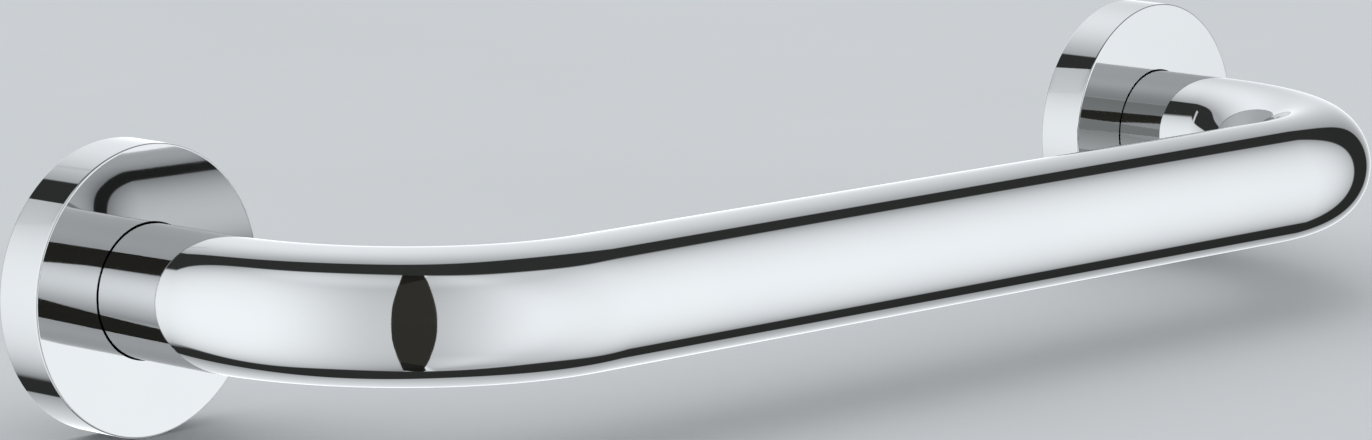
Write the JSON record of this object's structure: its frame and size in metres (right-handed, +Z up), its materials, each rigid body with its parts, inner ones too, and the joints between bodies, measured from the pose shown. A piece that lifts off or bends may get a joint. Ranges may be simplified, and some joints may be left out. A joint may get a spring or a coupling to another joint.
{
  "type": "grab bar",
  "caption": "Chromed wall grab bar: a round tube bent back at its ends into flat round rosettes that lock onto hidden wall brackets, to hold on to in a bath or shower.",
  "frame": {"origin": "on the wall plane, midway between the two rosette axes", "axes": "+X along the bar, +Y into the wall, +Z up; the bar stands off the wall towards -Y"},
  "size_m": [0.349, 0.0875, 0.054],
  "materials": {
    "tube_chrome": "polished",
    "rosette_chrome": "polished",
    "plug_brass": "turned",
    "bracket_steel": "zinc plated",
    "screw_steel": "zinc plated"
  },
  "bodies": {
    "root": {"grab_tube": "tube_chrome", "rosette_left": "rosette_chrome", "rosette_right": "rosette_chrome", "end_plug_left": "plug_brass", "end_plug_right": "plug_brass", "clamp_screws": "screw_steel", "wall_bracket_left": "bracket_steel", "wall_bracket_right": "bracket_steel", "set_screws": "screw_steel"}
  },
  "joints": []
}
